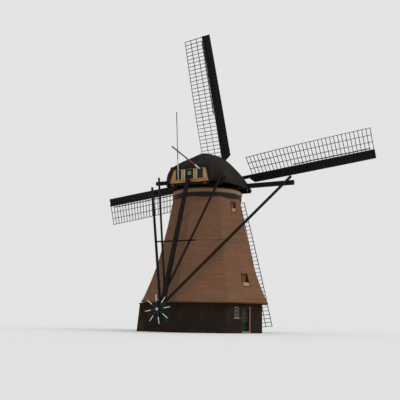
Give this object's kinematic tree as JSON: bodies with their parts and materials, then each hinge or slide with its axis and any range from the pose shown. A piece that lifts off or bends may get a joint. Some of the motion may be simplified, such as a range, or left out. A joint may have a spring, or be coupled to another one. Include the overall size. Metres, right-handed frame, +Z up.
{
  "type": "thatched drainage windmill",
  "caption": "Eight-sided thatched windmill on a low brick base, with a turning cap, tail pole and winch, lattice sails and a hinged door.",
  "frame": {"origin": "middle of the underside of the floor, on the ground, on the axis that the cap turns about", "axes": "+Z up; at rest the sails are towards +Y and the tail pole towards -Y"},
  "size_m": [27.9796, 14.6798, 27.794],
  "materials": {
    "brick": "fired brick, matte",
    "stone": "worn stone, matte",
    "ochre_paint": "oil paint on wood, satin",
    "green_paint": "oil paint on wood, satin",
    "pane": "window glass, clear",
    "white_paint": "oil paint on wood, satin",
    "coping": "dark clay tiles, matte",
    "thatch": "weathered reed, rough",
    "cap_thatch": "mossy reed, rough",
    "brown_paint": "oil paint on wood, worn",
    "dark_boards": "tarred boards, matte",
    "cream_paint": "oil paint on wood, satin",
    "cap_oak": "old oak, matte",
    "gable_paint": "oil paint on boards, satin",
    "tarred_timber": "tarred timber, matte",
    "cable": "weathered steel cable",
    "wheel_paint": "oil paint on wood, satin",
    "iron": "painted iron, satin",
    "flag_paint": "oil paint on wood, satin",
    "stock_paint": "tarred steel, satin",
    "lattice_wood": "stained battens, matte",
    "board_paint": "tarred boards, matte",
    "canvas": "rolled sailcloth, weathered"
  },
  "bodies": {
    "mill": {"floor_slab": "stone", "base_walls_odd": "brick", "base_walls_even": "brick", "wall_left_of_door": "brick", "wall_right_of_door": "brick", "wall_over_door": "brick", "threshold": "stone", "door_frame": "ochre_paint", "base_window": "white_paint", "base_window_glass": "pane", "annexe": "brick", "annexe_coping": "coping", "thatch_sides_odd": "thatch", "thatch_sides_even": "thatch", "hatch_frames": "brown_paint", "hatch_leaves": "ochre_paint", "hatch_sills": "cream_paint", "dark_band": "dark_boards", "pale_ring": "cream_paint"},
    "door": {"door_leaf": "green_paint", "door_glass": "pane"},
    "cap": {"cap_ring": "cap_oak", "side_beams": "cap_oak", "cross_beams": "cap_oak", "shaft_beams": "cap_oak", "cap_thatch_left": "cap_thatch", "cap_thatch_right": "cap_thatch", "rear_gable": "gable_paint", "gable_windows": "pane", "front_boards": "green_paint", "long_spruit": "tarred_timber", "short_spruit": "tarred_timber", "tail_pole": "tarred_timber", "long_braces": "tarred_timber", "short_braces": "tarred_timber", "cross_bar": "tarred_timber", "tie_cables": "cable", "winch_cheeks": "green_paint", "flagpoles": "flag_paint"},
    "winch": {"winch_wheel": "wheel_paint", "winch_axle": "iron"},
    "sails": {"windshaft": "iron", "poll_end": "iron", "outer_stock": "stock_paint", "inner_stock": "stock_paint", "lattice_up": "lattice_wood", "lattice_right": "lattice_wood", "lattice_down": "lattice_wood", "lattice_left": "lattice_wood", "leading_boards": "board_paint", "rolled_sails": "canvas"}
  },
  "joints": [
    {"name": "cap_turn", "type": "hinge", "parent": "mill", "child": "cap", "pos_m": [0, 0, 12.15], "axis": [0, 0, 1], "continuous": true},
    {"name": "sail_turn", "type": "hinge", "parent": "cap", "child": "sails", "pos_m": [0, 4.3, 14.06], "axis": [0, 0.9848, 0.1736], "continuous": true},
    {"name": "winch_turn", "type": "hinge", "parent": "cap", "child": "winch", "pos_m": [0, -8.0637, 1.81], "axis": [0, 1, 0], "continuous": true},
    {"name": "door_swing", "type": "hinge", "parent": "mill", "child": "door", "pos_m": [4.16755, -1.88441, 1.04], "axis": [0, 0, 1], "range_deg": [0, 95]}
  ]
}
